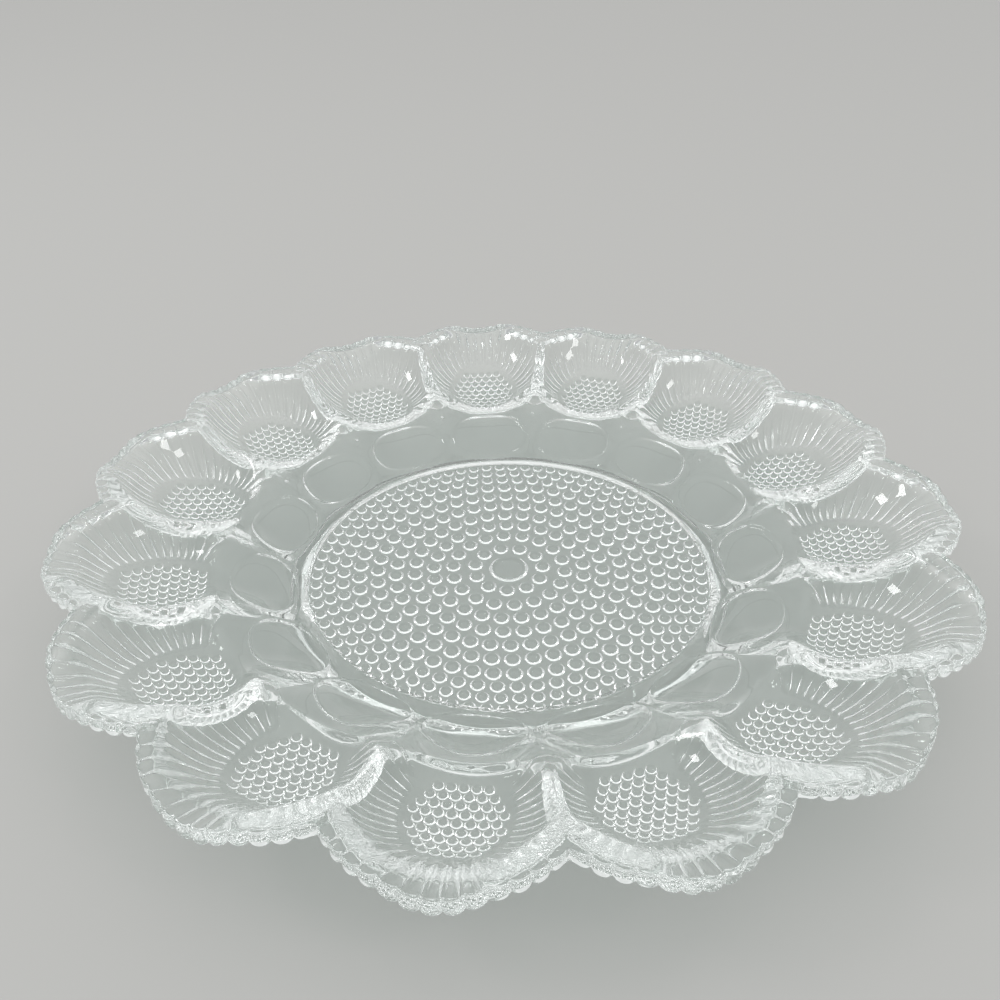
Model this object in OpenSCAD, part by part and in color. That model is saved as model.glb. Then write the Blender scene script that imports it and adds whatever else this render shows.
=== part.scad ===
// Deviled egg platter in pressed glass: fifteen scalloped egg cups round a flat centre well.
// The real platter is one pressing. Its regions are separate solids that meet face to face.
// The origin is on the table, under the centre of the well. Cup 1 lies on +Y, the rest follow clockwise.

/* [Platter] */
// Overall diameter across the scallop tips
plate_d = 280; // [270:1:290]
// Height of the rim above the table
plate_h = 32; // [29:0.5:36]

/* [Centre well] */
// Height of the foot ring below the floor
foot_h = 2; // [1.5:0.1:3]
// How far inside the start of the panels the foot ring begins
foot_in = 1.2; // [0.5:0.1:6]
// Width of the foot ring
foot_w = 6.4; // [4:0.1:8]
// Thickness of the well's floor
floor_t = 5; // [4:0.1:6]
// Radius of the round button under the middle of the floor
button_r = 6.5; // [5:0.1:10]
// How far that button stands out below the floor
button_h = 1.3; // [0.6:0.1:1.5]

/* [Well panels] */
// Length of a panel in plan, from where it starts to rise to its outer edge, at its middle
panel_len = 28; // [25:0.1:30]
// How much farther out the floor reaches between two panels
panel_bay = 5.5; // [3:0.1:7]
// Height of a panel's outer edge above the table, at its middle
panel_out_h = 15.7; // [15:0.1:17]
// Thickness of the glass under a panel
panel_t = 4.6; // [4:0.1:5.2]
// Half length of a thumbprint, across the panel
thumb_len = 13.5; // [10:0.1:14]
// Half width of a thumbprint, up the panel
thumb_wid = 7.6; // [5:0.1:8]
// Distance from a panel's outer edge in to a thumbprint's centre
thumb_in = 14; // [12:0.1:16]
// Depth of a thumbprint
thumb_depth = 1.1; // [0.6:0.1:1.5]

/* [Dividers] */
// How far the cusp, in which the crest between two cups ends, reaches in past the panels' outer edge
cusp_in = 8.5; // [5:0.1:11]
// Height of that cusp above the table
cusp_h = 16.2; // [15.5:0.1:18]
// Length of that crest in plan, from the cusp to the rim
crest_len = 32; // [28:0.1:35]

/* [Egg cups] */
// Length of a cup in plan, from the panel's outer edge to the scallop's tip
cup_len = 45.5; // [44:0.1:48]
// Radius of a rim scallop
scallop_r = 33.1; // [31:0.1:35]
// Width of the flat rim band
rim_w = 7.2; // [6:0.1:9]
// Height of the rim's outer face
rim_t = 3.8; // [3:0.1:5]
// Depth of the flutes in the rim's outer face
flute_depth = 0.7; // [0.4:0.1:1]
// Radius of a cup's bowl on the side towards the well
bowl_in_r = 22; // [20:0.1:24]
// Height of a cup's floor above the table, under the middle of its bowl
cup_floor_h = 15; // [14:0.1:17]
// Thickness of the glass under a cup
cup_t = 4.2; // [3.5:0.1:5]
// How much wider a bowl is below than above
wall_t = 3.6; // [3:0.1:4.5]
// How far the edge between two surfaces is rounded
blend = 1.2; // [0.5:0.1:2]

/* [Hidden] */
cup_count = 15;
// Flutes on the rim of each scallop
flutes = 13;
// How steeply a cup's floor climbs outwards
cup_tilt_share = 0.16;
// How flat a bowl's floor stays before its wall rises
bowl_power = 3.5;
// Steps across a panel
panel_steps = 8;
// Where the rows of a panel lie, across the foot ring and from there to the panel's outer edge
foot_row_shares = [0, 0.5, 1];
panel_row_shares = [0.04, 0.25, 0.5, 0.76, 1];
// Where the points of a divider lie, from the cusp to the notch in the rim
divider_shares = [0.3, 0.55, 0.78];
// Where the rings of points in a cup lie, from its middle to its edge
cup_ring_shares = [0.24, 0.46, 0.64, 0.79, 0.9, 1];

sector = 360 / cup_count;
half = sector / 2;
panel_out_r = plate_d / 2 - cup_len;
panel_in_r = panel_out_r - panel_len;
foot_in_r = panel_in_r - foot_in;
thumb_r = panel_out_r - thumb_in;
cusp_r = panel_out_r - cusp_in;
crest_r = cusp_r + crest_len;
cup_r = plate_d / 2 - scallop_r;
bowl_r = scallop_r - rim_w;
floor_h = foot_h + floor_t;
rim_under_h = plate_h - rim_t;
foot_out_r = foot_in_r + foot_w;
notch_side = cup_r * sin(half);
notch_r = cup_r * cos(half) + sqrt(scallop_r * scallop_r - notch_side * notch_side);
notch_angle = atan2(notch_r * sin(half), notch_r * cos(half) - cup_r);
button_ball_r = (button_r * button_r + button_h * button_h) / (2 * button_h);
panel_mid_slope = (panel_out_h - floor_h) / (panel_out_r - panel_in_r);
panel_side_slope = (cusp_h - floor_h) / (cusp_r - panel_in_r - panel_bay);
crest_slope = (plate_h - cusp_h) / (crest_r - cusp_r);

CUPS = [for (k = [1:cup_count]) k];
TENS = ["0", "1"];
function two_digits(k) = str(TENS[floor(k / 10)], k % 10);

// A point in plan, from its radius and its angle off the cup's own line
function polar(r, a) = [r * cos(a), r * sin(a)];
// The lower of two heights, with the edge between them rounded
function soft_min(a, b) = min(a, b) - pow(max(0, blend - abs(a - b)), 2) / (4 * blend);
// How near an angle is to a divider, from 0 on the cup's line to 1 on the divider
function side_share(a) = pow(a / half, 2);
// The curved line where a panel ends and a cup begins
function panel_edge_r(a) = panel_out_r - (panel_out_r - cusp_r) * side_share(a);

// Heights of the surfaces that meet in the top of the glass
function panel_z(r, a) =
    let (start = panel_in_r + panel_bay * side_share(a))
    let (slope = panel_mid_slope + (panel_side_slope - panel_mid_slope) * side_share(a))
    floor_h + slope * max(0, r - start);
function crest_z(r) = cusp_h + crest_slope * (r - cusp_r);
function bowl_q(u, v, extra) = norm([u / ((u < 0 ? bowl_in_r : bowl_r) + extra), v / (bowl_r + extra)]);
function bowl_z(u, v, lift, edge_h, extra) =
    let (base = cup_floor_h + cup_tilt_share * u - lift)
    base + (edge_h - base) * pow(bowl_q(u, v, extra), bowl_power);
function thumb_dip(r, a) =
    thumb_depth * max(0, 1 - pow(norm([(r - thumb_r) / thumb_wid, r * sin(a) / thumb_len]), 2));

// Height of the top and of the underside of the glass at a point in plan
function top_z(p) =
    let (r = norm(p), a = atan2(p.y, p.x))
    let (wall = soft_min(panel_z(r, a), crest_z(r)))
    let (bowl = bowl_z(p.x - cup_r, p.y, 0, plate_h, 0))
    soft_min(plate_h, soft_min(wall, bowl)) - thumb_dip(r, a);
function under_z(p) =
    let (r = norm(p), a = atan2(p.y, p.x))
    let (wall = min(panel_z(r, a), crest_z(r)) - panel_t)
    let (bowl = bowl_z(p.x - cup_r, p.y, cup_t, rim_under_h, wall_t))
    r < foot_out_r + foot_w * panel_row_shares[0] / 4 ? foot_h : max(foot_h, min(rim_under_h, wall, bowl));

// Walls of a solid between its top and its underside, round a loop that runs clockwise
function walls(loop, step) =
    [for (i = [0:len(loop) - 1]) let (a = loop[i], b = loop[(i + 1) % len(loop)]) [b, a, a + step, b + step]];
function flip(faces) = [for (f = faces) [for (i = [len(f) - 1:-1:0]) f[i]]];
function shift(faces, step) = [for (f = faces) [for (i = f) i + step]];

// Closed solid between the top and the underside of the glass over points in plan
module glass(plan, faces, loop) {
    count = len(plan);
    tops = [for (p = plan) [p.x, p.y, top_z(p)]];
    unders = [for (p = plan) [p.x, p.y, under_z(p)]];
    polyhedron(
        points = concat(tops, unders),
        faces = concat(faces, shift(flip(faces), count), walls(loop, count))
    );
}

// The panel of the well's wall under one cup, with its thumbprint
panel_angles = [for (j = [0:panel_steps]) -half + sector * j / panel_steps];
function panel_row(a) = concat(
    [for (s = foot_row_shares) foot_in_r + foot_w * s],
    [for (s = panel_row_shares) foot_out_r + (panel_edge_r(a) - foot_out_r) * s]
);
panel_rows = len(foot_row_shares) + len(panel_row_shares);
function panel_index(i, j) = i + panel_rows * j;
module well_panel(k) {
    last = panel_rows - 1;
    plan = [for (a = panel_angles) for (r = panel_row(a)) polar(r, a)];
    faces = [
        for (i = [0:last - 1]) for (j = [0:panel_steps - 1])
            let (near = panel_index(i, j), far = panel_index(i + 1, j))
            let (near_next = panel_index(i, j + 1), far_next = panel_index(i + 1, j + 1))
            for (f = [[near, near_next, far_next], [near, far_next, far]]) f
    ];
    loop = concat(
        [for (j = [0:panel_steps]) panel_index(0, j)],
        [for (i = [1:last]) panel_index(i, panel_steps)],
        [for (j = [panel_steps - 1:-1:0]) panel_index(last, j)],
        [for (i = [last - 1:-1:1]) panel_index(i, 0)]
    );
    color([0.80, 0.86, 0.84, 0.6])
        rotate([0, 0, 90 - sector * (k - 1)])
            glass(plan, faces, loop);
}

// One egg cup with its share of the dividers and its scallop of the rim
function rim_r(j) = j == 0 || j == 2 * flutes || j % 2 == 1 ? scallop_r : scallop_r - flute_depth;
cup_edge = concat(
    [for (a = panel_angles) polar(panel_edge_r(a), a)],
    [for (s = divider_shares) polar(cusp_r + (notch_r - cusp_r) * s, half)],
    [for (j = [0:2 * flutes]) [cup_r, 0] + polar(rim_r(j), notch_angle * (1 - j / flutes))],
    [for (i = [len(divider_shares) - 1:-1:0]) polar(cusp_r + (notch_r - cusp_r) * divider_shares[i], -half)]
);
module egg_cup(k) {
    count = len(cup_edge);
    rings = len(cup_ring_shares);
    middle = [cup_r, 0];
    plan = concat([middle], [for (s = cup_ring_shares) for (p = cup_edge) middle + (p - middle) * s]);
    faces = concat(
        [for (j = [0:count - 1]) [0, 1 + j, 1 + (j + 1) % count]],
        [
            for (i = [0:rings - 2]) for (j = [0:count - 1])
                let (near = 1 + i * count + j, far = near + count)
                let (near_next = 1 + i * count + (j + 1) % count, far_next = near_next + count)
                for (f = [[near, far, far_next], [near, far_next, near_next]]) f
        ]
    );
    loop = [for (j = [0:count - 1]) 1 + (rings - 1) * count + j];
    color([0.78, 0.85, 0.83, 0.6])
        rotate([0, 0, 90 - sector * (k - 1)])
            glass(plan, faces, loop);
}

// Flat floor of the well, with the round button under its middle
module centre_floor() {
    color([0.82, 0.87, 0.85, 0.6]) {
        translate([0, 0, foot_h])
            linear_extrude(floor_t)
                polygon([for (j = [0:cup_count * panel_steps - 1]) polar(foot_in_r, 90 - half + sector * j / panel_steps)]);
        intersection() {
            translate([0, 0, foot_h - button_h + button_ball_r])
                sphere(r = button_ball_r, $fn = 96);
            translate([0, 0, foot_h - button_h])
                cylinder(h = button_h + floor_t / 2, r = button_r, $fn = 96);
        }
    }
}

// Ring that the platter stands on
module foot_ring() {
    color([0.76, 0.84, 0.81, 0.6])
        rotate_extrude($fn = 120)
            translate([foot_in_r, 0])
                square([foot_w, foot_h]);
}

centre_floor();
foot_ring();
for (k = CUPS) {
    well_panel(k);
    egg_cup(k);
}
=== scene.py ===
import math

import bpy
import numpy as np
from bpy.props import FloatProperty, FloatVectorProperty, IntProperty, PointerProperty
from mathutils import Matrix, Vector
from mathutils.geometry import delaunay_2d_cdt


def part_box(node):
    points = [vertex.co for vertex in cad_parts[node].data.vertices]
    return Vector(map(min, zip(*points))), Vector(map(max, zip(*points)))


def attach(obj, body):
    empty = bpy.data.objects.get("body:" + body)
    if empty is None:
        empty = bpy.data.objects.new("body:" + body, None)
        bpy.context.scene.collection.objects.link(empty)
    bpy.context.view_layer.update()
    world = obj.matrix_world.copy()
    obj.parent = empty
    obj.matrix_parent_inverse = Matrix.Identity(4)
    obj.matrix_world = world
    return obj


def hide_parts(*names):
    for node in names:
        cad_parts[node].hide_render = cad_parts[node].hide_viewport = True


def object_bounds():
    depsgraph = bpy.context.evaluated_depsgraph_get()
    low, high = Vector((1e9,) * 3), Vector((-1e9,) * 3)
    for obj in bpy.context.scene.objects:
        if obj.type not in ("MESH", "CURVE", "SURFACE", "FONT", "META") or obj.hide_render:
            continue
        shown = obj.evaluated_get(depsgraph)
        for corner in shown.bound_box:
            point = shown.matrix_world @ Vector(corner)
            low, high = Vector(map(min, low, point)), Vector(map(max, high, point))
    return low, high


bl_info = {
    "name": "Pressed Glass Egg Platter",
    "version": (1, 0, 0),
    "blender": (4, 5, 0),
    "location": "View3D > Sidebar > Egg Platter",
    "description": "Dresses a packed egg platter as clear pressed glass with its pressed pattern",
    "category": "Add Mesh",
}

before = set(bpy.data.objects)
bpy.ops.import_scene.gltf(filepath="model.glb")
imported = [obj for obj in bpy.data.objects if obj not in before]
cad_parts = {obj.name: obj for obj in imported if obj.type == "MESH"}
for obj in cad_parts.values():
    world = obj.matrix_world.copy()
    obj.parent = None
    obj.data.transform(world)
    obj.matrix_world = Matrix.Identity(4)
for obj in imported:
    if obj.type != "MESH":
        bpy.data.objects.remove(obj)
CAD_LOW, CAD_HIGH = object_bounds()

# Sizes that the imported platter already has, in metres
CUPS = sorted(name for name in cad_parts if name.startswith("egg_cup_"))
PANELS = sorted(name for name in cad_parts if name.startswith("well_panel_"))
SECTOR = 2 * math.pi / len(CUPS)
HALF = SECTOR / 2
PLATE_R = CAD_HIGH.y
PLATE_H = CAD_HIGH.z
FOOT_IN_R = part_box("centre_floor")[1].y
FOOT_OUT_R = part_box("foot_ring")[1].x
FOOT_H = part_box("foot_ring")[1].z
FLOOR_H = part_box("centre_floor")[1].z
BODY = "root"

MM = 0.001
# Rings of hobnails under the floor, from the photograph: radius, hobnail radius, count
FLOOR_RINGS = (
    (11.3, 2.60, 11), (18.5, 2.60, 18), (24.8, 2.60, 25), (31.0, 2.60, 31), (37.2, 2.60, 38),
    (43.2, 2.60, 44), (49.2, 2.60, 50), (54.4, 2.25, 60), (58.9, 2.05, 70), (63.1, 1.95, 80))
# Points across a panel, over one flute of the rim and along one side of a cup
PANEL_STEPS = 72
FLUTE_STEPS = 8
SIDE_STEPS = 84
# Rows of points on a panel's top, under it beyond the foot ring, and under a cup's ribs
PANEL_ROWS = 46
PANEL_UNDER_ROWS = 40
RIB_ROWS = 22
# Points round a cup hobnail, a floor hobnail, the middle button and a thumbprint
CUP_HOB_SIDES = 20
FLOOR_HOB_SIDES = 24
BUTTON_SIDES = 64
THUMB_SIDES = 96
# Rings of points over a hobnail's round shoulders
SHOULDER_RINGS = 7
# Rings of points on a cup's smooth top, in mm: first radius, end, step
CUP_DOT_RINGS = ((1.2, 20, 1.3), (20.5, 28, 0.5), (28.6, 50, 0.9))
# Distance between those points along a ring within this radius and beyond it
CUP_DOT_TURN_R = 20 * MM
CUP_DOT_STEPS = (1.3 * MM, 0.8 * MM)
# How close to the cup's edge such a point may lie
CUP_DOT_GAP = 0.35 * MM
# Rings of points on a thumbprint as shares of its size: dense over the lip, coarse inside
THUMB_RINGS = ((1.11, 0.89, 23), (0.84, 0.06, 12))
# Share of a thumbprint's size outside which the panel's own points lie
THUMB_CLEAR = 1.16
# Rings of points on the floor's top, as shares of its radius
FLOOR_SHARES = (1, 0.7, 0.4, 0.1)
# Directions in which the rim's outer face looks, from its top edge to its lower one, in degrees
RIM_BENDS = (90, 60, 30, 0, 0, -30, -60, -90)
# Distance over which a slope is measured
PROBE = 0.005 * MM
# How finely points are told apart when faces are welded, in metres
WELD = 1e-7
# Share of its radius that the flat crown of a floor hobnail, a cup hobnail and the button takes
FLOOR_HOB_FLAT = 0.25
CUP_HOB_FLAT = 0.2
BUTTON_FLAT = 0.6
# How strongly a tiled plan's straight sides are bent while it is tiled
SIDE_BEND = 60.0
# Share of a half circle's width that the round section of a rib or flute takes
FLUTE_ARC = 0.9
# Share of a scallop's arc past which its flutes and rounded edge fade out
FLUTE_END = 0.93
# Ribs start at the hobnail patch and are full at this multiple of its size
RIB_FULL = 1.25
# Directions from the bowl's middle between which the ribs fade out towards the well
RIB_TURNS = (math.radians(140), math.radians(118))
# Distances past the bowl's edge between which the ribs take their depth under the rim
RIM_RIB_BAND = (-1 * MM, 5 * MM)
# Share of their depth that the ribs keep at a divider, and the distances over which they regain it
CALM_SHARE = 0.4
CALM_BAND = (0.5 * MM, 5 * MM)
# How far out the hobnail patch's centre moves for points towards the cusps, and their directions
PATCH_SHIFT = 4 * MM
PATCH_TURNS = (math.radians(115), math.radians(141))
# Rows and columns of hobnails tried under a cup, the step between rows as a share of the pitch,
# and how strongly a row bows, per metre
HOB_ROWS = 12
HOB_COLUMNS = 5
HOB_ROW_STEP = 0.91
HOB_ROW_BOW = 0.9
# Least distance of a cup hobnail from the patch's edge, and half of it from its neighbour
HOB_EDGE_GAP = 0.12 * MM
HOB_GAP = 0.04 * MM
# The glass: how it bends light, its faint clouds and haze, and the slight waves of its skin
IOR = 1.52
CLOUD_SCALE = 60.0
CLOUD_TINT = (0.985, 0.997, 0.992)
HAZE = 0.03
WAVE_SCALE = 190.0
WAVE_STRENGTH = 0.12
WAVE_DEPTH = 0.4 * MM
# The studio's table, half its width in metres, and its soft lamps: place, size in metres, watts
TABLE_REACH = 12.0
SOFTBOXES = {
    "left_softbox": ((-1.0, 0.05, 1.0), (0.35, 0.2), 2.5),
    "right_softbox": ((0.8, -0.6, 1.1), (0.3, 0.2), 1.5),
}
# The dim room in front, the bright wall behind and the glow overhead
ROOM_LIGHT = (0.46, 0.46, 0.47, 1)
WALL_LIGHT = (0.90, 0.90, 0.90, 1)
OVERHEAD_LIGHT = (1.35, 1.35, 1.35, 1)
# How fast the wall's light grows towards the back and its share at the sides, how fast it ends
# upwards and from what share of that, and the same for the overhead glow
WALL_BACK = (2.2, 0.1)
WALL_TOP = (1.5, 0.4)
OVERHEAD = (1.8, 0.75)
# The view, worked out from the scallops' places in the photograph: lens and sensor in mm,
# place over the table, height over the rim in metres, and angles in radians
LENS, SENSOR = 34.8, 36.0
CAMERA_XY = (-0.0244, -0.2525)
CAMERA_OVER_RIM = 0.1699
TILT, AZIMUTH, ROLL = 0.5900, 0.0855, -0.0072
# Bounces of light, of which each turn inside the glass is one, and passes through clear surfaces
BOUNCES = 40
PASSES = 64


def length(name, description, default):
    """A size in millimetres, kept as a Blender length."""
    return FloatProperty(
        name=name, description=description, default=default * MM, unit="LENGTH", precision=5)


def slant(name, description, default):
    """An angle in degrees, kept in radians."""
    return FloatProperty(
        name=name, description=description, default=math.radians(default), subtype="ANGLE")


class EggPlatterShape(bpy.types.PropertyGroup):
    """Sizes of the smooth glass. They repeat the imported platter's, apart from the thumbprints'."""

    panel_in_r: length("Panel start", "Radius at which a panel starts to rise, at its middle", 66.5)
    panel_bay: length("Panel bay", "How much farther out the floor reaches between two panels", 5.5)
    panel_out_r: length("Panel end", "Radius of a panel's outer edge, at its middle", 94.5)
    panel_out_h: length("Panel height", "Height of a panel's outer edge, at its middle", 15.7)
    panel_t: length("Panel glass", "Thickness of the glass under a panel", 4.6)
    thumb_len: length(
        "Thumbprint half length", "Half length of a thumbprint, across the panel", 14.0)
    thumb_wid: length("Thumbprint half width", "Half width of a thumbprint, up the panel", 9.8)
    thumb_r: length("Thumbprint radius", "Radius at which a thumbprint's centre lies", 78.5)
    thumb_depth: length("Thumbprint depth", "Depth of a thumbprint", 1.1)
    cusp_r: length("Cusp radius", "Radius at which the crest between two cups ends", 86.0)
    cusp_h: length("Cusp height", "Height at which the crest between two cups ends", 16.2)
    crest_r: length(
        "Crest radius", "Radius at which the crest between two cups reaches the rim", 118.0)
    scallop_r: length("Scallop radius", "Radius of a rim scallop", 33.1)
    rim_w: length("Rim width", "Width of the flat rim band", 7.2)
    rim_t: length("Rim face", "Height of the rim's outer face", 3.8)
    bowl_in_r: length("Inner bowl radius", "Radius of a bowl on the side towards the well", 22.0)
    cup_floor_h: length("Cup floor", "Height of a cup's floor under the middle of its bowl", 15.0)
    cup_t: length("Cup glass", "Thickness of the glass under a cup", 4.2)
    wall_t: length("Bowl wall", "How much wider a bowl is below than above", 3.6)
    blend: length("Blend", "How far the edge between two surfaces is rounded", 1.2)
    cup_tilt: FloatProperty(
        name="Cup tilt", description="How steeply a cup's floor climbs outwards", default=0.16)
    bowl_power: FloatProperty(
        name="Bowl power", description="How flat a bowl's floor stays", default=3.5)


class EggPlatterPattern(bpy.types.PropertyGroup):
    """Sizes of the pressed pattern under the glass."""

    flutes: IntProperty(
        name="Flutes", description="Flutes on the rim of each scallop", default=13, min=3)
    flute_depth: length("Flute depth", "Depth of the flutes in the rim's outer face", 0.7)
    rib_share: FloatProperty(
        name="Rib depth", default=0.048,
        description="Depth of a rib as a share of its distance from the bowl's middle")
    rim_rib: length("Rim rib depth", "Depth of a rib under the flat rim band", 0.7)
    edge: length("Edge round", "Radius of the rim's rounded edges", 0.6)
    patch_x: length(
        "Patch middle", "How far inside the bowl's middle the hobnail patch is centred", -1.0)
    patch_long: length("Patch half length", "Half length of a cup's hobnail patch", 17.6)
    patch_wide: length("Patch half width", "Half width of a cup's hobnail patch", 14.0)
    patch_gap: length("Patch gap", "How far the patch stays from the well's ridge", 1.0)
    cup_hob_r: length("Cup hobnail radius", "Radius of a hobnail under a cup", 1.56)
    cup_hob_steep: slant("Cup hobnail slope", "Steepest slope of a hobnail under a cup", 60)
    cup_hob_pitch: length("Cup hobnail pitch", "Distance between hobnails under a cup", 3.3)
    floor_hob_steep: slant(
        "Floor hobnail slope", "Steepest slope of a hobnail under the floor", 68)
    button_r: length("Button radius", "Radius of the round button under the middle", 6.5)
    button_steep: slant("Button slope", "Steepest slope of the round button under the middle", 66)
    foot_edge: length("Foot edge round", "Radius of the foot ring's outer edge", 0.7)
    foot_flank: slant("Foot flank", "Slope of the foot ring's inner flank", 25)
    foot_toe: length("Foot toe round", "Radius of the bend between that flank and the base", 1.5)
    divider_round: FloatProperty(
        name="Divider rounding", default=3.2,
        description="How much wider than other edges a divider is rounded")
    ridge_round: FloatProperty(
        name="Ridge rounding", default=3.2,
        description="How much wider than other edges the well's ridge is rounded")
    lip_h: length("Lip height", "Height of the fine lip round a thumbprint", 0.42)
    lip_w: length("Lip width", "Width of the fine lip round a thumbprint", 0.45)
    eye_r: length("Eye radius", "Radius of the round eye behind each notch of the rim", 2.3)
    eye_depth: length("Eye depth", "Depth of the round eye behind each notch of the rim", 0.7)
    eye_in: length("Eye place", "How far inside the notch an eye lies", 5.2)


class EggPlatterFinish(bpy.types.PropertyGroup):
    """Colours of the glass and the studio."""

    glass: FloatVectorProperty(
        name="Glass", description="Tint that each surface of the glass gives", subtype="COLOR",
        size=3, min=0, max=1, default=(0.955, 0.985, 0.972))
    shade: FloatVectorProperty(
        name="Shade", description="What each surface of the glass lets a lamp's light keep",
        subtype="COLOR", size=3, min=0, max=1, default=(0.80, 0.83, 0.82))
    table: FloatVectorProperty(
        name="Table", description="Pale studio floor", subtype="COLOR",
        size=3, min=0, max=1, default=(0.48, 0.48, 0.465))


def soft_step(low, high, x):
    """0 below low, 1 above high, and smooth between them; high may be the lower one."""
    t = np.clip((x - low) / (high - low), 0, 1)
    return t * t * (3 - 2 * t)


class Glass:
    """Heights of the glass in one cup's own plan, where x runs out along the cup's line."""

    def __init__(self, scene):
        self.s = s = scene.egg_platter_shape
        self.p = p = scene.egg_platter_pattern
        self.cup_r = PLATE_R - s.scallop_r
        self.bowl_r = s.scallop_r - s.rim_w
        self.under_rim = PLATE_H - s.rim_t
        side = self.cup_r * math.sin(HALF)
        self.notch_r = self.cup_r * math.cos(HALF) + math.sqrt(s.scallop_r**2 - side**2)
        self.notch_angle = math.atan2(
            self.notch_r * math.sin(HALF), self.notch_r * math.cos(HALF) - self.cup_r)
        self.flute = 2 * self.notch_angle / p.flutes
        self.mid_slope = (s.panel_out_h - FLOOR_H) / (s.panel_out_r - s.panel_in_r)
        self.side_slope = (s.cusp_h - FLOOR_H) / (s.cusp_r - s.panel_in_r - s.panel_bay)
        self.crest_slope = (PLATE_H - s.cusp_h) / (s.crest_r - s.cusp_r)

    def soft_min(self, a, b, wide=1):
        """The lower of two heights, with the edge between them rounded."""
        blend = self.s.blend * wide
        return np.minimum(a, b) - np.maximum(0, blend - abs(a - b)) ** 2 / (4 * blend)

    def panel_edge(self, angle):
        """Radius of the curved line where a panel ends and a cup begins."""
        return self.s.panel_out_r - (self.s.panel_out_r - self.s.cusp_r) * (angle / HALF) ** 2

    def panel(self, r, angle):
        """Height of a panel's top, which starts farther out towards the panel's sides."""
        side = (angle / HALF) ** 2
        slope = self.mid_slope + (self.side_slope - self.mid_slope) * side
        return FLOOR_H + slope * np.maximum(0, r - self.s.panel_in_r - self.s.panel_bay * side)

    def crest(self, r):
        """Height of the crest between two cups, from the cusp to the rim."""
        return self.s.cusp_h + self.crest_slope * (r - self.s.cusp_r)

    def bowl(self, u, v, lift, edge_h, extra):
        """Height of a bowl that is lowered by lift, widened by extra and ends at a height."""
        s = self.s
        reach = np.where(u < 0, s.bowl_in_r, self.bowl_r) + extra
        q = np.hypot(u / reach, v / (self.bowl_r + extra))
        base = s.cup_floor_h + s.cup_tilt * u - lift
        return base + (edge_h - base) * q**s.bowl_power

    def thumb(self, x, y):
        """How far inside a thumbprint a point lies: 0 at its middle and 1 at its edge."""
        s = self.s
        return np.hypot((np.hypot(x, y) - s.thumb_r) / s.thumb_wid, y / s.thumb_len)

    def top_plain(self, x, y):
        """Height of the top, rounded where a bowl meets its neighbour's, the wall or the rim."""
        r, angle = np.hypot(x, y), np.arctan2(y, x)
        wall = self.soft_min(self.panel(r, angle), self.crest(r))
        across = np.where(angle < 0, -SECTOR, SECTOR) - angle
        own = self.bowl(x - self.cup_r, y, 0, PLATE_H, 0)
        other = self.bowl(r * np.cos(across) - self.cup_r, r * np.sin(across), 0, PLATE_H, 0)
        divider = self.soft_min(own, other, self.p.divider_round)
        return self.soft_min(PLATE_H, self.soft_min(wall, divider, self.p.ridge_round))

    def lip(self, x, y):
        """Height of the fine lip round a thumbprint."""
        off = (self.thumb(x, y) - 1) * (self.s.thumb_wid + self.s.thumb_len) / 2
        return self.p.lip_h * np.exp(-((off / self.p.lip_w) ** 2))

    def top(self, x, y):
        """Height of the top, with the round eye behind each notch."""
        p = self.p
        eye = self.notch_r - p.eye_in
        off = np.hypot(x - eye * math.cos(HALF), abs(y) - eye * math.sin(HALF)) / p.eye_r
        return self.top_plain(x, y) - p.eye_depth * np.maximum(0, 1 - off**2)

    def thumb_top(self, x, y):
        """Height of the top in and round a thumbprint."""
        dip = self.s.thumb_depth * np.maximum(0, 1 - self.thumb(x, y) ** 2)
        return self.top_plain(x, y) - dip + self.lip(x, y)

    def flute_share(self, turn):
        """1 on the crest of a rib or flute and 0 in the valley between two."""
        t = (turn / self.flute + 0.5) % 1 - 0.5
        low = math.sqrt(1 - FLUTE_ARC**2)
        return (np.sqrt(1 - (2 * FLUTE_ARC * t) ** 2) - low) / (1 - low)

    def ribs(self, x, y):
        """How far the ribs under a cup stand out."""
        p = self.p
        u, out = x - self.cup_r, np.hypot(x - self.cup_r, y)
        turn = np.arctan2(y, u)
        patch = np.hypot((u + p.patch_x) / p.patch_long, y / p.patch_wide)
        fade = soft_step(1.0, RIB_FULL, patch) * soft_step(*RIB_TURNS, abs(turn))
        under_rim = soft_step(self.bowl_r + RIM_RIB_BAND[0], self.bowl_r + RIM_RIB_BAND[1], out)
        depth = p.rib_share * out * (1 - under_rim) + p.rim_rib * under_rim
        # The ribs are lower under a divider, so that its glass stays calm
        from_divider = x * math.sin(HALF) - abs(y) * math.cos(HALF)
        calm = CALM_SHARE + (1 - CALM_SHARE) * soft_step(*CALM_BAND, from_divider)
        return depth * fade * calm * self.flute_share(turn)

    def under_plain(self, x, y):
        """Height of the underside without its ribs."""
        s = self.s
        r, angle = np.hypot(x, y), np.arctan2(y, x)
        wall = self.soft_min(self.panel(r, angle), self.crest(r)) - s.panel_t
        bowl = self.bowl(x - self.cup_r, y, s.cup_t, self.under_rim, s.wall_t)
        under = self.soft_min(self.under_rim, self.soft_min(wall, bowl))
        # From the foot ring the underside climbs evenly to the panel's outer edge
        edge_r = self.panel_edge(np.clip(angle, -HALF, HALF))
        edge_h = self.panel(edge_r, np.clip(angle, -HALF, HALF)) - s.panel_t
        climb = FOOT_H + (edge_h - FOOT_H) * (r - FOOT_OUT_R) / (edge_r - FOOT_OUT_R)
        return FOOT_H + np.maximum(0, self.soft_min(under, climb) - FOOT_H)

    def under(self, x, y):
        """Height of the underside with its ribs."""
        return self.under_plain(x, y) - self.ribs(x, y)


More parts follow.
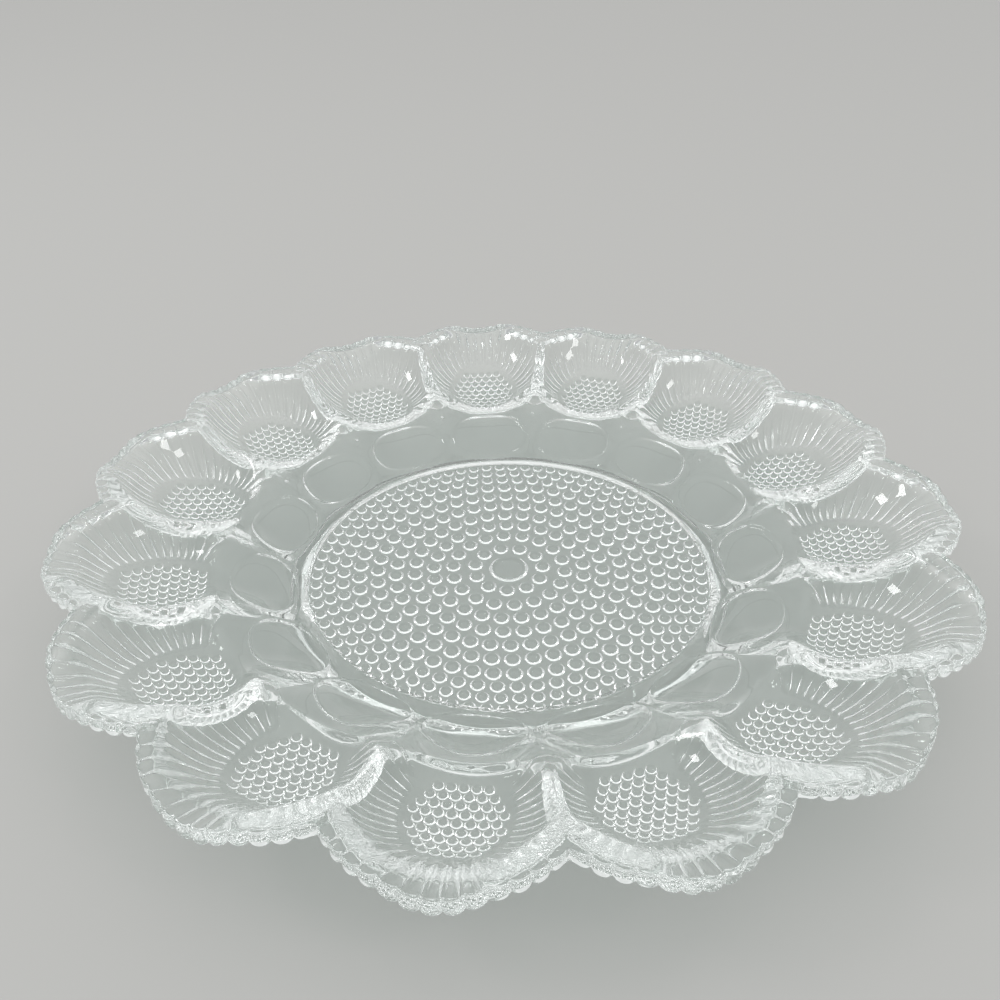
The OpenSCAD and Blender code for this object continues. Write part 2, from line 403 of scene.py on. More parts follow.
def facing(height, xy, side):
    """Unit normals of a height function; side is 1 for a top and -1 for an underside."""
    x, y = xy[:, 0], xy[:, 1]
    slope_x = (height(x + PROBE, y) - height(x - PROBE, y)) / (2 * PROBE)
    slope_y = (height(x, y + PROBE) - height(x, y - PROBE)) / (2 * PROBE)
    n = np.stack([-slope_x, -slope_y, np.ones_like(x)], 1) * side
    return n / np.linalg.norm(n, axis=1)[:, None]


def lay(height, xy):
    """Points in plan set on a height function."""
    return np.column_stack([xy, height(xy[:, 0], xy[:, 1])])


def turned(rows, angle):
    """Vectors turned about the platter's axis."""
    c, s = math.cos(angle), math.sin(angle)
    return rows @ np.array([[c, s, 0], [-s, c, 0], [0, 0, 1]])


def grid_faces(rows, columns, closed):
    """Triangles over rows of points; closed joins the last column to the first."""
    spans = columns if closed else columns - 1
    i, j = np.meshgrid(np.arange(rows - 1), np.arange(spans), indexing="ij")
    near, near_next = i * columns + j, i * columns + (j + 1) % columns
    far, far_next = near + columns, near_next + columns
    quads = np.stack([near, near_next, far_next, near, far_next, far], -1)
    return quads.reshape(-1, 3)


def capped_faces(rings, count):
    """Triangles over closed rings of points and one more point inside the last ring."""
    last = (rings - 1) * count + np.arange(count)
    cap = np.stack([last, np.roll(last, -1), np.full(count, rings * count)], 1)
    return np.concatenate([grid_faces(rings, count, True), cap])


def tile(outer, holes, loose=()):
    """Triangles over the plan inside a loop and outside some round holes, on the given points."""
    points = np.concatenate([outer, *holes, np.reshape(loose, (-1, 2))])
    edges, start = [], 0
    for loop in [outer, *holes]:
        edges += [(start + i, start + (i + 1) % len(loop)) for i in range(len(loop))]
        start += len(loop)
    # Straight sides are bent inwards a little here, so that their points form no slivers
    bent = points.copy()
    bent[:, 1] *= 1 + SIDE_BEND * (points[:, 0] - points[:, 0].mean()) ** 2
    bent = bent.astype(np.float32)
    _, _, faces, origin, _, _ = delaunay_2d_cdt([Vector(p) for p in bent], edges, [], 0, WELD / 10)
    ids = np.array([o[0] for o in origin])
    faces = ids[np.array([f for f in faces if len(f) == 3])]
    middle = bent[faces].astype(float).mean(1)
    keep = inside(middle, bent[: len(outer)].astype(float))
    start = len(outer)
    for hole in holes:
        hole = bent[start : start + len(hole)].astype(float)
        start += len(hole)
        reach = np.linalg.norm(hole - hole.mean(0), axis=1).max()
        near = np.where(keep & (np.linalg.norm(middle - hole.mean(0), axis=1) < reach))[0]
        keep[near[inside(middle[near], hole)]] = False
    return points, faces[keep]


def inside(points, loop):
    """Which points lie inside a loop, by the crossings of a ray."""
    found = np.zeros(len(points), bool)
    for a, b in zip(loop, np.roll(loop, -1, axis=0)):
        if a[1] == b[1]:
            continue
        crosses = (a[1] > points[:, 1]) != (b[1] > points[:, 1])
        at = a[0] + (points[:, 1] - a[1]) * (b[0] - a[0]) / (b[1] - a[1])
        found ^= crosses & (points[:, 0] < at)
    return found


class Skin:
    """Faces with their own corner normals, welded into one closed mesh."""

    def __init__(self):
        self.points, self.normals, self.faces, self.slots, self.count = [], [], [], [], 0

    def add(self, points, normals, faces, seam=False):
        """Adds triangles. Their winding is turned to suit the normals."""
        a, b, c = (points[faces[:, i]] for i in range(3))
        flat = np.cross(b - a, c - a)
        wrong = (flat * normals[faces].mean(1)).sum(1) < 0
        faces = np.where(wrong[:, None], faces[:, ::-1], faces)
        self.points.append(points)
        self.normals.append(normals)
        self.faces.append(faces + self.count)
        self.slots.append(np.full(len(faces), int(seam)))
        self.count += len(points)

    def seal(self):
        """Joins what was added into whole arrays and drops faces without area."""
        self.points, self.normals = np.concatenate(self.points), np.concatenate(self.normals)
        self.faces, self.slots = np.concatenate(self.faces), np.concatenate(self.slots)
        keys = np.round(self.points / WELD).astype(np.int64)
        _, first, same = np.unique(keys, axis=0, return_index=True, return_inverse=True)
        same = same.reshape(-1)
        self.first, self.welded = first, same[self.faces]
        w = self.welded
        solid = (w[:, 0] != w[:, 1]) & (w[:, 1] != w[:, 2]) & (w[:, 2] != w[:, 0])
        self.welded, self.faces, self.slots = w[solid], self.faces[solid], self.slots[solid]
        return self

    def piece(self, name, angle, materials):
        """Makes the piece, turned about the axis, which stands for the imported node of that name."""
        mesh = bpy.data.meshes.new(name)
        corners = self.welded.size
        mesh.vertices.add(len(self.first))
        mesh.loops.add(corners)
        mesh.polygons.add(len(self.welded))
        places = turned(self.points[self.first], angle)
        mesh.vertices.foreach_set("co", places.astype(np.float32).ravel())
        mesh.loops.foreach_set("vertex_index", self.welded.astype(np.int32).ravel())
        mesh.polygons.foreach_set("loop_start", np.arange(0, corners, 3, dtype=np.int32))
        mesh.polygons.foreach_set("material_index", self.slots.astype(np.int32))
        for material in materials:
            mesh.materials.append(material)
        mesh.update(calc_edges=True)
        mesh.normals_split_custom_set(turned(self.normals[self.faces.ravel()], angle).tolist())
        piece = bpy.data.objects.new(name + "_glass", mesh)
        bpy.context.collection.objects.link(piece)
        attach(piece, BODY)
        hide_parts(name)


def curtain(skin, upper, lower):
    """A seam between two regions: a plane wall from an upper edge to a lower one."""
    points = np.concatenate([upper, lower])
    count = len(upper)
    faces = grid_faces(2, count, False)
    along = upper[1:] - upper[:-1]
    out = np.stack([along[:, 1], -along[:, 0], np.zeros(len(along))], 1)
    normals = np.concatenate([out, out[-1:]])
    normals = normals / np.maximum(np.linalg.norm(normals, axis=1), WELD)[:, None]
    skin.add(points, np.concatenate([normals, normals]), faces, seam=True)


def dome(skin, circle, height, steep, flat):
    """A hobnail with a flat crown and round shoulders, under a base over a round loop in plan."""
    centre = circle.mean(0)
    reach = np.linalg.norm(circle[0] - centre)
    # The shoulders are an arc that ends at the steepest slope
    slopes = steep * np.linspace(1, 0, SHOULDER_RINGS)
    shares = np.append(flat + (1 - flat) * np.sin(slopes) / math.sin(steep), flat / 2)
    slopes = np.append(slopes, [0, 0])
    spokes = circle - centre
    xy = np.concatenate([centre + spokes * one for one in shares] + [centre[None]])
    bend = np.append(np.repeat(slopes[:-1], len(circle)), slopes[-1])
    arc = reach * (1 - flat) / math.sin(steep)
    depth = arc * (np.cos(bend) - math.cos(steep))
    points = np.column_stack([xy, height(xy[:, 0], xy[:, 1]) - depth])
    slope = facing(height, xy, 1)
    slope = slope / slope[:, 2:]
    spread = (xy - centre) / np.maximum(np.linalg.norm(xy - centre, axis=1), WELD)[:, None]
    lean = spread * np.tan(bend)[:, None]
    normals = np.column_stack([lean - slope[:, :2], -np.ones(len(xy))])
    normals /= np.linalg.norm(normals, axis=1)[:, None]
    skin.add(points, normals, capped_faces(len(shares), len(circle)))


def ring(x, y, r, sides):
    """A round loop in plan."""
    turn = np.arange(sides) * 2 * math.pi / sides
    return np.stack([x + r * np.cos(turn), y + r * np.sin(turn)], 1)


def panel_angles():
    """Directions of the points across a panel."""
    return np.linspace(-HALF, HALF, PANEL_STEPS + 1)


def round_turns():
    """Directions of the points round the whole platter, which suit the panels' points."""
    return math.pi / 2 - HALF + np.arange(PANEL_STEPS * len(CUPS)) * SECTOR / PANEL_STEPS


def polar(r, angle):
    """Points in plan at a radius and a direction."""
    return np.stack([r * np.cos(angle), r * np.sin(angle)], -1)


def cup_columns(glass):
    """Points round a cup's edge in plan, and how much the rim's edge is rounded at each."""
    arc_steps = FLUTE_STEPS * glass.p.flutes
    turn = np.linspace(-glass.notch_angle, glass.notch_angle, arc_steps + 1)
    depth = glass.p.flute_depth * (1 - glass.flute_share(turn))
    ends = soft_step(1.0, FLUTE_END, abs(turn) / glass.notch_angle)
    reach = glass.s.scallop_r - depth * ends
    arc = np.array([glass.cup_r, 0]) + polar(reach, turn)
    middle = np.array([glass.cup_r, 0])
    cusp = polar(glass.s.cusp_r, HALF)
    cusp_turn = math.atan2(cusp[1], cusp[0] - middle[0])
    turns = np.linspace(glass.notch_angle, cusp_turn, SIDE_STEPS + 1)
    # Where a ray from the bowl's middle meets the divider's line
    share = glass.cup_r * math.sin(HALF) / np.sin(turns - HALF)
    side = middle + polar(share, turns)
    angles = panel_angles()
    inner = polar(glass.panel_edge(angles), angles)
    mirror = side[::-1] * [1, -1]
    loop = np.concatenate([arc, side[1:-1], inner[::-1], mirror[1:-1]])
    edge = np.zeros(len(loop))
    edge[: arc_steps + 1] = glass.p.edge * ends
    return loop, edge, arc_steps


def patch_edge(glass, loop):
    """The loop round a cup's hobnail patch: an oval that stays clear of the well's ridge."""
    p = glass.p
    spokes = loop - [glass.cup_r, 0]
    # Towards the cusps the loop doubles back a little, so it is followed from farther out there
    turn = np.arctan2(spokes[:, 1], spokes[:, 0])
    shift = PATCH_SHIFT * soft_step(*PATCH_TURNS, abs(turn))
    spokes[:, 0] -= shift
    reach = np.linalg.norm(spokes, axis=1)
    unit = spokes / reach[:, None]
    off = p.patch_x + shift
    a = (unit[:, 0] / p.patch_long) ** 2 + (unit[:, 1] / p.patch_wide) ** 2
    b = off * unit[:, 0] / p.patch_long**2
    c = (off / p.patch_long) ** 2 - 1
    oval = (-b + np.sqrt(b * b - a * c)) / a
    return loop - unit * (reach - np.minimum(oval, reach - p.patch_gap))[:, None]


def cup_hobs(glass, patch):
    """Centre and radius of each hobnail under a cup, in staggered rows that bow outwards."""
    p = glass.p
    pitch, row_step = p.cup_hob_pitch, p.cup_hob_pitch * HOB_ROW_STEP
    found = []
    margin = p.cup_hob_r + HOB_EDGE_GAP
    first = glass.s.panel_out_r + p.patch_gap + margin
    for row in range(HOB_ROWS):
        for column in range(-HOB_COLUMNS, HOB_COLUMNS + 1):
            v = (column + 0.5 * (row % 2)) * pitch
            bow = HOB_ROW_BOW * row * v * v
            found.append((first + row * row_step - bow, v))
    found = np.array(found)
    keep = inside(found, patch)
    # A hobnail stays only where its whole round lies in the patch
    for turn in np.linspace(0, 2 * math.pi, 12, endpoint=False):
        keep &= inside(found + polar(margin, turn), patch)
    found = found[keep]
    apart = np.linalg.norm(found[:, None] - found[None], axis=2)
    np.fill_diagonal(apart, 1)
    return np.column_stack([found, np.minimum(p.cup_hob_r, apart.min(1) / 2 - HOB_GAP)])


def cup_dots(glass, loop):
    """Points for the smooth top of a cup: rings that lie closest at the bowl's edge."""
    dots = [[[glass.cup_r, 0]]]
    for r in np.concatenate([np.arange(*span) for span in CUP_DOT_RINGS]) * MM:
        step = CUP_DOT_STEPS[0] if r < CUP_DOT_TURN_R else CUP_DOT_STEPS[1]
        dots.append(ring(glass.cup_r, 0, r, max(6, int(2 * math.pi * r / step))))
    dots = np.concatenate(dots)
    dots = dots[inside(dots, loop)]
    near = np.array([np.linalg.norm(loop - dot, axis=1).min() for dot in dots])
    return dots[near > CUP_DOT_GAP]


def build_cup(glass):
    """Skin of one egg cup in its own plan."""
    skin = Skin()
    loop, edge, arc_steps = cup_columns(glass)
    middle = np.array([glass.cup_r, 0])
    out = (loop - middle) / np.linalg.norm(loop - middle, axis=1)[:, None]
    inner = loop - out * edge[:, None]
    # The smooth top
    xy, faces = tile(inner, [], cup_dots(glass, inner))
    skin.add(lay(glass.top, xy), facing(glass.top, xy, 1), faces)
    # The rim's outer face, rounded above and below
    arc = slice(0, arc_steps + 1)
    face = np.column_stack([np.gradient(loop[arc, 1]), -np.gradient(loop[arc, 0])])
    face /= np.linalg.norm(face, axis=1)[:, None]
    high, low = glass.top(*inner[arc].T), glass.under(*inner[arc].T)
    points, normals = [], []
    for bend in np.radians(RIM_BENDS):
        back = edge[arc] * (1 - math.cos(bend))
        if len(points) < len(RIM_BENDS) / 2:
            z = high - edge[arc] * (1 - math.sin(bend))
        else:
            z = low + edge[arc] * (1 + math.sin(bend))
        points.append(np.column_stack([loop[arc] - out[arc] * back[:, None], z]))
        normals.append(np.column_stack([face * math.cos(bend), np.full(len(face), math.sin(bend))]))
    faces = grid_faces(len(points), arc_steps + 1, False)
    skin.add(np.concatenate(points), np.concatenate(normals), faces)
    # The ribbed underside, from the rim to the hobnail patch
    patch = patch_edge(glass, loop)
    shares = np.linspace(0, 1, RIB_ROWS)[:, None, None]
    xy = (inner + (patch - inner) * shares).reshape(-1, 2)
    faces = grid_faces(RIB_ROWS, len(loop), True)
    skin.add(lay(glass.under, xy), facing(glass.under, xy, -1), faces)
    # The hobnail patch
    circles = [ring(x, y, r, CUP_HOB_SIDES) for x, y, r in cup_hobs(glass, patch)]
    xy, faces = tile(patch, circles)
    skin.add(lay(glass.under, xy), facing(glass.under_plain, xy, -1), faces)
    for circle in circles:
        dome(skin, circle, glass.under, glass.p.cup_hob_steep, CUP_HOB_FLAT)
    # Seams with the neighbours and with the panel
    curtain_loop(skin, glass, np.concatenate([loop[arc_steps:], loop[:1]]))
    return skin.seal()


def curtain_loop(skin, glass, line):
    """Seam walls along a line in plan, from the top of the glass to its underside."""
    curtain(skin, lay(glass.top, line), lay(glass.under, line))


def build_panel(glass):
    """Skin of one panel of the well's wall in its own plan, with its thumbprint."""
    skin = Skin()
    angles = panel_angles()
    edge_r = glass.panel_edge(angles)
    shares = np.linspace(0, 1, PANEL_ROWS)
    radii = FOOT_IN_R + (edge_r - FOOT_IN_R) * shares[:, None]
    net = polar(radii, angles[None])
    rim = np.concatenate([net[0], net[1:, -1], net[-1, -2::-1], net[-2:0:-1, 0]])
    # The top, with the thumbprint's own rings of points
    turn = np.linspace(0, 2 * math.pi, THUMB_SIDES, endpoint=False)
    y = glass.s.thumb_len * np.sin(turn)
    r = glass.s.thumb_r + glass.s.thumb_wid * np.cos(turn)
    oval = np.stack([np.sqrt(r * r - y * y), y], 1)
    loose = net[1:-1, 1:-1].reshape(-1, 2)
    loose = loose[glass.thumb(*loose.T) > THUMB_CLEAR]
    centre = np.array([glass.s.thumb_r, 0])
    steps = np.concatenate([np.linspace(*span) for span in THUMB_RINGS])
    xy, faces = tile(rim, [centre + (oval - centre) * steps[0]], loose)
    skin.add(lay(glass.thumb_top, xy), facing(glass.thumb_top, xy, 1), faces)
    xy = np.concatenate([centre + (oval - centre) * step for step in steps] + [centre[None]])
    faces = capped_faces(len(steps), len(oval))
    skin.add(lay(glass.thumb_top, xy), facing(glass.thumb_top, xy, 1), faces)
    # The underside: flat over the foot ring, where it is a seam, then rising with the panel
    foot = np.repeat(np.array([FOOT_IN_R, FOOT_OUT_R])[:, None], len(angles), 1)
    beyond = np.linspace(0, 1, PANEL_UNDER_ROWS)[1:, None]
    rows = np.concatenate([foot, FOOT_OUT_R + (edge_r - FOOT_OUT_R) * beyond])
    below = polar(rows, angles[None])
    xy = below.reshape(-1, 2)
    faces = grid_faces(len(rows), len(angles), False)
    on_foot = faces.max(1) < 2 * len(angles)
    points, normals = lay(glass.under, xy), facing(glass.under, xy, -1)
    skin.add(points, normals, faces[~on_foot])
    skin.add(points, normals, faces[on_foot], seam=True)
    # Seams with the neighbouring panels, the floor and the cup
    for side in (0, -1):
        seam_strip(skin, lay(glass.top, net[:, side]), lay(glass.under, below[:, side]))
    curtain_loop(skin, glass, net[0])
    curtain_loop(skin, glass, net[-1])
    return skin.seal()


def seam_strip(skin, upper, lower):
    """A plane seam wall between two edges that have different points, each ordered outwards."""
    points = np.concatenate([upper, lower])
    count, i, j, faces = len(upper), 0, 0, []
    out = np.hypot(points[:, 0], points[:, 1])
    while i < count - 1 or j < len(lower) - 1:
        if j == len(lower) - 1 or (i < count - 1 and out[i + 1] <= out[count + j + 1]):
            faces.append((i, i + 1, count + j))
            i += 1
        else:
            faces.append((i, count + j + 1, count + j))
            j += 1
    along = upper[-1] - upper[0]
    normal = np.array([along[1], -along[0], 0.0])
    normal /= np.linalg.norm(normal)
    if upper[0][1] > 0:
        normal = -normal
    skin.add(points, np.repeat(normal[None], len(points), 0), np.array(faces), seam=True)


def level(x, _):
    """Height of the floor's flat underside."""
    return np.full(np.shape(x), FOOT_H)


def build_floor(glass):
    """Skin of the well's floor: smooth above, rings of hobnails and a button below."""
    skin = Skin()
    p = glass.p
    rim = polar(FOOT_IN_R, round_turns())
    xy = np.concatenate([rim * share for share in FLOOR_SHARES] + [np.zeros((1, 2))])
    up = np.repeat([[0.0, 0, 1]], len(xy), 0)
    faces = capped_faces(len(FLOOR_SHARES), len(rim))
    skin.add(np.column_stack([xy, np.full(len(xy), FLOOR_H)]), up, faces)
    hobs = []
    for index, (r, size, count) in enumerate(FLOOR_RINGS):
        for k in range(count):
            angle = 2 * math.pi * (k + 0.5 * (index % 2)) / count
            hobs.append((r * MM * math.cos(angle), r * MM * math.sin(angle), size * MM))
    circles = [ring(x, y, size, FLOOR_HOB_SIDES) for x, y, size in hobs]
    button = ring(0, 0, p.button_r, BUTTON_SIDES)
    xy, faces = tile(rim, [button, *circles])
    skin.add(lay(level, xy), np.repeat([[0.0, 0, -1]], len(xy), 0), faces)
    for circle in circles:
        dome(skin, circle, level, p.floor_hob_steep, FLOOR_HOB_FLAT)
    dome(skin, button, level, p.button_steep, BUTTON_FLAT)
    # The seam with the panels
    closed = np.concatenate([rim, rim[:1]])
    upper = np.column_stack([closed, np.full(len(closed), FLOOR_H)])
    curtain(skin, upper, lay(level, closed))
    return skin.seal()


def build_foot(glass):
    """Skin of the foot ring, with a rounded outer edge and a sloping inner flank."""
    skin = Skin()
    turns = round_turns()
    steps = len(turns)
    edge, flank, toe = glass.p.foot_edge, glass.p.foot_flank, glass.p.foot_toe
    # The section's points: radius, height, and the normal's outward and upward parts
    profile = [(FOOT_OUT_R, FOOT_H, 1, 0)]
    for b in np.linspace(0, math.pi / 2, 6):
        r, z = FOOT_OUT_R - edge * (1 - math.cos(b)), edge * (1 - math.sin(b))
        profile.append((r, z, math.cos(b), -math.sin(b)))
    # The toe's arc runs into the straight flank, which ends where the floor begins
    toe_h = toe * (1 - math.cos(flank))
    toe_r = FOOT_IN_R + (FOOT_H - toe_h) / math.tan(flank) + toe * math.sin(flank)
    for b in np.linspace(0, flank, 5):
        r, z = toe_r - toe * math.sin(b), toe * (1 - math.cos(b))
        profile.append((r, z, -math.sin(b), -math.cos(b)))
    profile.append((FOOT_IN_R, FOOT_H, -math.sin(flank), -math.cos(flank)))
    points, normals = [], []
    for r, z, out, up in profile:
        points.append(np.column_stack([polar(r, turns), np.full(steps, z)]))
        normals.append(np.column_stack([polar(out, turns), np.full(steps, up)]))
    faces = grid_faces(len(profile), steps, True)
    skin.add(np.concatenate(points), np.concatenate(normals), faces)
    lid = np.concatenate([points[0], points[-1]])
    skin.add(lid, np.repeat([[0.0, 0, 1]], len(lid), 0), grid_faces(2, steps, True), seam=True)
    return skin.seal()


class Wire:
    """An output socket of a node, on which shader sums are written as plain expressions."""

    def __init__(self, tree, socket):
        self.tree, self.socket = tree, socket

    def math(self, operation, *values):
        """One sum of values and wires."""
        node = self.tree.node("ShaderNodeMath", {"operation": operation}, dict(enumerate(values)))
        return Wire(self.tree, node.outputs[0])

    def __add__(self, other):
        return self.math("ADD", self, other)

    def __sub__(self, other):
        return self.math("SUBTRACT", self, other)

    def __rsub__(self, other):
        return self.math("SUBTRACT", other, self)

    def __mul__(self, other):
        return self.math("MULTIPLY", self, other)

    def __pow__(self, other):
        return self.math("POWER", self, other)

    def clamp(self):
        """Keeps the value between 0 and 1."""
        node = self.tree.node("ShaderNodeClamp", None, {0: self})
        return Wire(self.tree, node.outputs[0])

    __radd__ = __add__
    __rmul__ = __mul__


class Tree:
    """A node tree that is filled by one method."""

    def __init__(self, owner):
        owner.use_nodes = True
        self.nodes, self.links = owner.node_tree.nodes, owner.node_tree.links
        self.nodes.clear()

    def node(self, kind, settings=None, inputs=None):
        """Adds a node: its settings first, then a value or a link for each named input."""
        node = self.nodes.new(kind)
        for name, value in (settings or {}).items():
            setattr(node, name, value)
        for name, value in (inputs or {}).items():
            if isinstance(value, Wire):
                self.links.new(value.socket, node.inputs[name])
            elif isinstance(value, bpy.types.NodeSocket):
                self.links.new(value, node.inputs[name])
            else:
                node.inputs[name].default_value = value
        return node

    def wire(self, kind, output, settings=None, inputs=None):
        """Adds a node and gives one of its outputs."""
        return Wire(self, self.node(kind, settings, inputs).outputs[output])

    def colour_mix(self, factor, low, high):
        """A colour between two, by a factor."""
        node = self.node("ShaderNodeMix", {"data_type": "RGBA"}, {0: factor, 6: low, 7: high})
        return Wire(self, node.outputs[2])


def opaque(colour):
    """A colour with full alpha."""
    return (*colour[:3], 1.0)


def glass_material(finish):
    """Clear pressed glass with a faint tint, slight waves, and light let through to the table."""
    found = bpy.data.materials.get("clear_pressing")
    if found:
        return found
    material = bpy.data.materials.new("clear_pressing")
    tree = Tree(material)
    place = tree.wire("ShaderNodeTexCoord", "Object")
    cloud = tree.wire("ShaderNodeTexNoise", 0, None, {
        "Vector": place, "Scale": CLOUD_SCALE, "Detail": 3.0})
    waves = tree.wire("ShaderNodeTexNoise", 0, None, {
        "Vector": place, "Scale": WAVE_SCALE, "Detail": 1.0})
    clear = opaque(finish.glass)
    deep = opaque([share * tint for share, tint in zip(finish.glass, CLOUD_TINT)])
    bump = tree.node("ShaderNodeBump", None, {
        "Strength": WAVE_STRENGTH, "Distance": WAVE_DEPTH, "Height": waves})
    surface = tree.node("ShaderNodeBsdfPrincipled", None, {
        "Base Color": tree.colour_mix(cloud, clear, deep),
        "Roughness": cloud**2 * HAZE,
        "IOR": IOR,
        "Transmission Weight": 1.0,
        "Normal": bump.outputs[0],
    })
    lamp = tree.node("ShaderNodeBsdfTransparent", None, {"Color": opaque(finish.shade)})
    # Light on its way to and from the table passes straight through, so the shade is soft
    path = tree.node("ShaderNodeLightPath")
    bounced = tree.node("ShaderNodeMixShader", None, {
        0: path.outputs["Is Diffuse Ray"], 1: surface.outputs[0], 2: lamp.outputs[0]})
    mix = tree.node("ShaderNodeMixShader", None, {
        0: path.outputs["Is Shadow Ray"], 1: bounced.outputs[0], 2: lamp.outputs[0]})
    tree.node("ShaderNodeOutputMaterial", None, {"Surface": mix.outputs[0]})
    return material


def seam_material():
    """What lies between two regions of one pressing: nothing that light would notice."""
    found = bpy.data.materials.get("inside_the_glass")
    if found:
        return found
    material = bpy.data.materials.new("inside_the_glass")
    tree = Tree(material)
    nothing = tree.node("ShaderNodeBsdfPrincipled", None, {"Alpha": 0.0})
    tree.node("ShaderNodeOutputMaterial", None, {"Surface": nothing.outputs[0]})
    return material


def finishes(context):
    """The two materials of every piece: its glass and its seams."""
    return [glass_material(context.scene.egg_platter_finish), seam_material()]


def region_angle(name):
    """Direction of a numbered region: number 1 points along +Y and the rest follow clockwise."""
    return math.pi / 2 - SECTOR * (int(name[-2:]) - 1)


class EGGPLATTER_OT_floor(bpy.types.Operator):
    """Press the well's floor with its rings of hobnails"""

    bl_idname = "egg_platter.floor"
    bl_label = "Well floor"

    def execute(self, context):
        build_floor(Glass(context.scene)).piece("centre_floor", 0, finishes(context))
        return {"FINISHED"}


class EGGPLATTER_OT_foot(bpy.types.Operator):
    """Press the ring that the platter stands on"""

    bl_idname = "egg_platter.foot"
    bl_label = "Foot ring"

    def execute(self, context):
        build_foot(Glass(context.scene)).piece("foot_ring", 0, finishes(context))
        return {"FINISHED"}


class EGGPLATTER_OT_panels(bpy.types.Operator):
    """Press the panels of the well's wall, each with its thumbprint"""

    bl_idname = "egg_platter.panels"
    bl_label = "Well panels"

    def execute(self, context):
        skin = build_panel(Glass(context.scene))
        for name in PANELS:
            skin.piece(name, region_angle(name), finishes(context))
        return {"FINISHED"}


class EGGPLATTER_OT_cups(bpy.types.Operator):
    """Press the egg cups, each with its ribs, hobnails and fluted scallop of the rim"""

    bl_idname = "egg_platter.cups"
    bl_label = "Egg cups"

    def execute(self, context):
        skin = build_cup(Glass(context.scene))
        for name in CUPS:
            skin.piece(name, region_angle(name), finishes(context))
        return {"FINISHED"}


def softbox(name, place, size, watts):
    """A soft rectangular lamp that faces the platter."""
    data = bpy.data.lights.new(name, "AREA")
    data.shape, data.size, data.size_y = "RECTANGLE", *size
    data.energy = watts
    lamp = bpy.data.objects.new(name, data)
    lamp.location = place
    lamp.rotation_euler = (-Vector(place)).to_track_quat("-Z", "Y").to_euler()
    bpy.context.collection.objects.link(lamp)


def lay_table(finish):
    """The pale table, as a stage that is no part of the platter."""
    reach = TABLE_REACH
    corners = [(-reach, -reach, 0), (reach, -reach, 0), (reach, reach, 0), (-reach, reach, 0)]
    mesh = bpy.data.meshes.new("table")
    mesh.from_pydata(corners, [], [(0, 1, 2, 3)])
    table = bpy.data.objects.new("studio_table", mesh)
    bpy.context.collection.objects.link(table)
    material = bpy.data.materials.new("studio_table")
    tree = Tree(material)
    surface = tree.node("ShaderNodeBsdfPrincipled", None, {
        "Base Color": opaque(finish.table), "Roughness": 0.85, "Specular IOR Level": 0.2})
    tree.node("ShaderNodeOutputMaterial", None, {"Surface": surface.outputs[0]})
    mesh.materials.append(material)


def light_room(scene):
    """The world round the table: a bright wall behind, a glow overhead and a dim room in front."""
    world = bpy.data.worlds.new("studio")
    scene.world = world
    tree = Tree(world)
    place = tree.wire("ShaderNodeTexCoord", "Generated")
    split = tree.node("ShaderNodeSeparateXYZ", None, {0: place})
    height, back = Wire(tree, split.outputs["Z"]), Wire(tree, split.outputs["Y"])
    above_wall = (height * WALL_TOP[0] - WALL_TOP[1]).clamp()
    wall = (back * WALL_BACK[0] + WALL_BACK[1]).clamp() * (1 - above_wall)
    overhead = (height * OVERHEAD[0] - OVERHEAD[1]).clamp()
    room = tree.colour_mix(wall, ROOM_LIGHT, WALL_LIGHT)
    light = tree.colour_mix(overhead, room, OVERHEAD_LIGHT)
    glow = tree.node("ShaderNodeBackground", None, {"Color": light, "Strength": 1.0})
    tree.node("ShaderNodeOutputWorld", None, {"Surface": glow.outputs[0]})


def set_camera(scene):
    """The camera, at the photograph's viewing angle."""
    data = bpy.data.cameras.new("camera")
    data.lens, data.sensor_width, data.clip_start = LENS, SENSOR, 0.01
    camera = bpy.data.objects.new("camera", data)
    turn = Matrix.Rotation(-AZIMUTH, 4, "Z") @ Matrix.Rotation(math.pi / 2 - TILT, 4, "X")
    turn = turn @ Matrix.Rotation(ROLL, 4, "Z")
    camera.matrix_world = Matrix.Translation((*CAMERA_XY, PLATE_H + CAMERA_OVER_RIM)) @ turn
    bpy.context.collection.objects.link(camera)
    scene.camera = camera


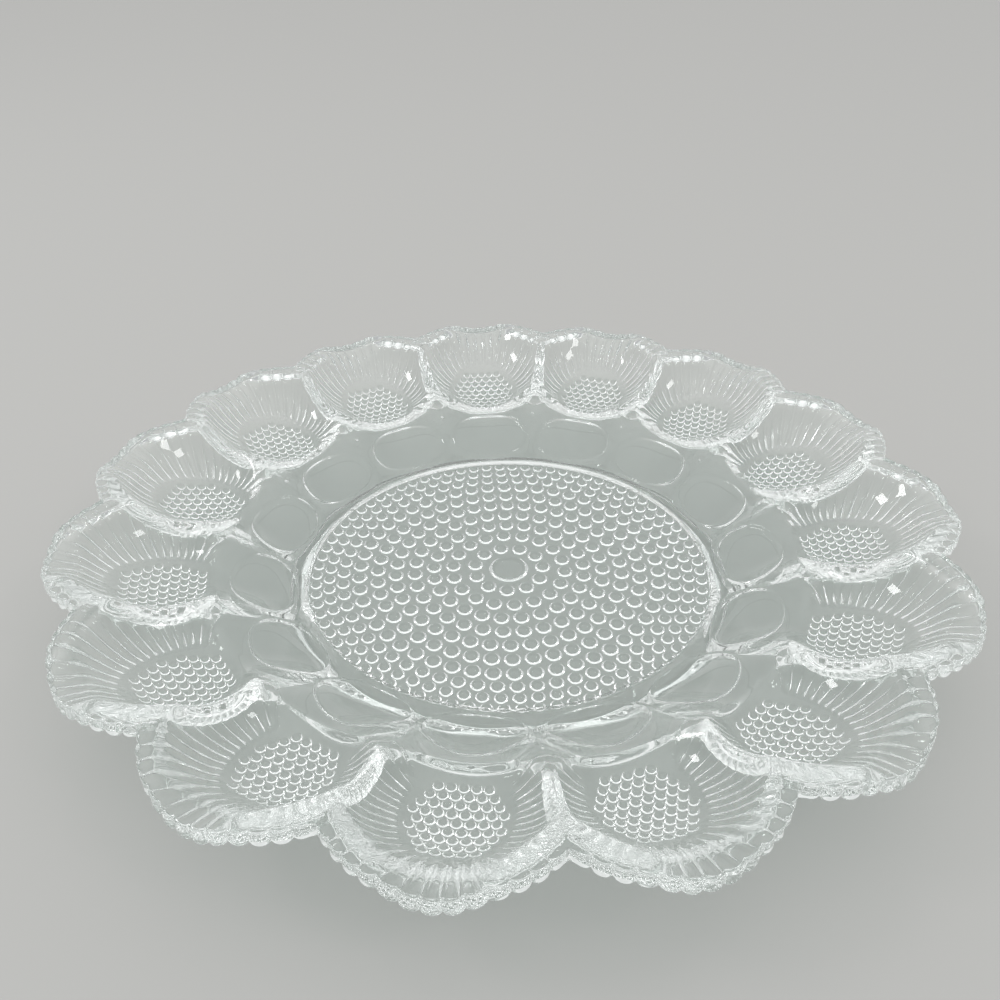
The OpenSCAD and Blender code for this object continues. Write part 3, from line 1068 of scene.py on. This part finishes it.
class EGGPLATTER_OT_stage(bpy.types.Operator):
    """Set the pale table, the lamps and the camera"""

    bl_idname = "egg_platter.stage"
    bl_label = "Studio"

    def execute(self, context):
        scene = context.scene
        lay_table(scene.egg_platter_finish)
        light_room(scene)
        for name, (place, size, watts) in SOFTBOXES.items():
            softbox(name, place, size, watts)
        set_camera(scene)
        scene.view_settings.view_transform = "Standard"
        scene.cycles.max_bounces = BOUNCES
        scene.cycles.glossy_bounces = BOUNCES
        scene.cycles.transmission_bounces = BOUNCES
        scene.cycles.transparent_max_bounces = PASSES
        return {"FINISHED"}


class EGGPLATTER_PT_panel(bpy.types.Panel):
    """Lists the platter's regions and their sizes"""

    bl_idname = "EGGPLATTER_PT_panel"
    bl_label = "Egg Platter"
    bl_space_type = "VIEW_3D"
    bl_region_type = "UI"
    bl_category = "Egg Platter"

    def draw(self, context):
        for operator in OPERATORS:
            self.layout.operator(operator.bl_idname)
        for key in GROUPS:
            group = getattr(context.scene, key)
            box = self.layout.box()
            for name in group.__annotations__:
                box.prop(group, name)


OPERATORS = (
    EGGPLATTER_OT_stage, EGGPLATTER_OT_floor, EGGPLATTER_OT_foot, EGGPLATTER_OT_panels,
    EGGPLATTER_OT_cups)
GROUPS = {
    "egg_platter_shape": EggPlatterShape,
    "egg_platter_pattern": EggPlatterPattern,
    "egg_platter_finish": EggPlatterFinish,
}


def register():
    for group in GROUPS.values():
        bpy.utils.register_class(group)
    for operator in OPERATORS:
        bpy.utils.register_class(operator)
    bpy.utils.register_class(EGGPLATTER_PT_panel)
    for name, group in GROUPS.items():
        setattr(bpy.types.Scene, name, PointerProperty(type=group))


def unregister():
    for name in GROUPS:
        delattr(bpy.types.Scene, name)
    bpy.utils.unregister_class(EGGPLATTER_PT_panel)
    for operator in reversed(OPERATORS):
        bpy.utils.unregister_class(operator)
    for group in GROUPS.values():
        bpy.utils.unregister_class(group)


def main():
    register()
    bpy.ops.egg_platter.stage()
    bpy.ops.egg_platter.floor()
    bpy.ops.egg_platter.foot()
    bpy.ops.egg_platter.panels()
    bpy.ops.egg_platter.cups()


if __name__ == "__main__":
    main()
